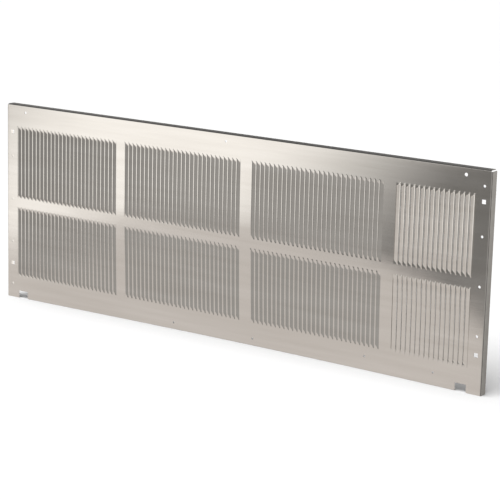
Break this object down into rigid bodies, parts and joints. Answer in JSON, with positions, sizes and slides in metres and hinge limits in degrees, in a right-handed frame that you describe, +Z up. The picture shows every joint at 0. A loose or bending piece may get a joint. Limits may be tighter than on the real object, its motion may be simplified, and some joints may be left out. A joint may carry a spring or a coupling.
{
  "type": "outdoor grille panel",
  "caption": "Stamped aluminium outdoor grille with banks of vertical twisted louvres, back-turned flanges, bottom notches and screw holes round the rim.",
  "frame": {"origin": "middle of the panel in width and height, on the back face of the sheet, where it seats on the wall sleeve", "axes": "+X to the right seen from outdoors, +Y into the wall, +Z up"},
  "size_m": [1.0668, 0.0168, 0.3874],
  "materials": {
    "mill_aluminium": "satin"
  },
  "bodies": {
    "root": {"grille_panel": "mill_aluminium"}
  },
  "joints": []
}
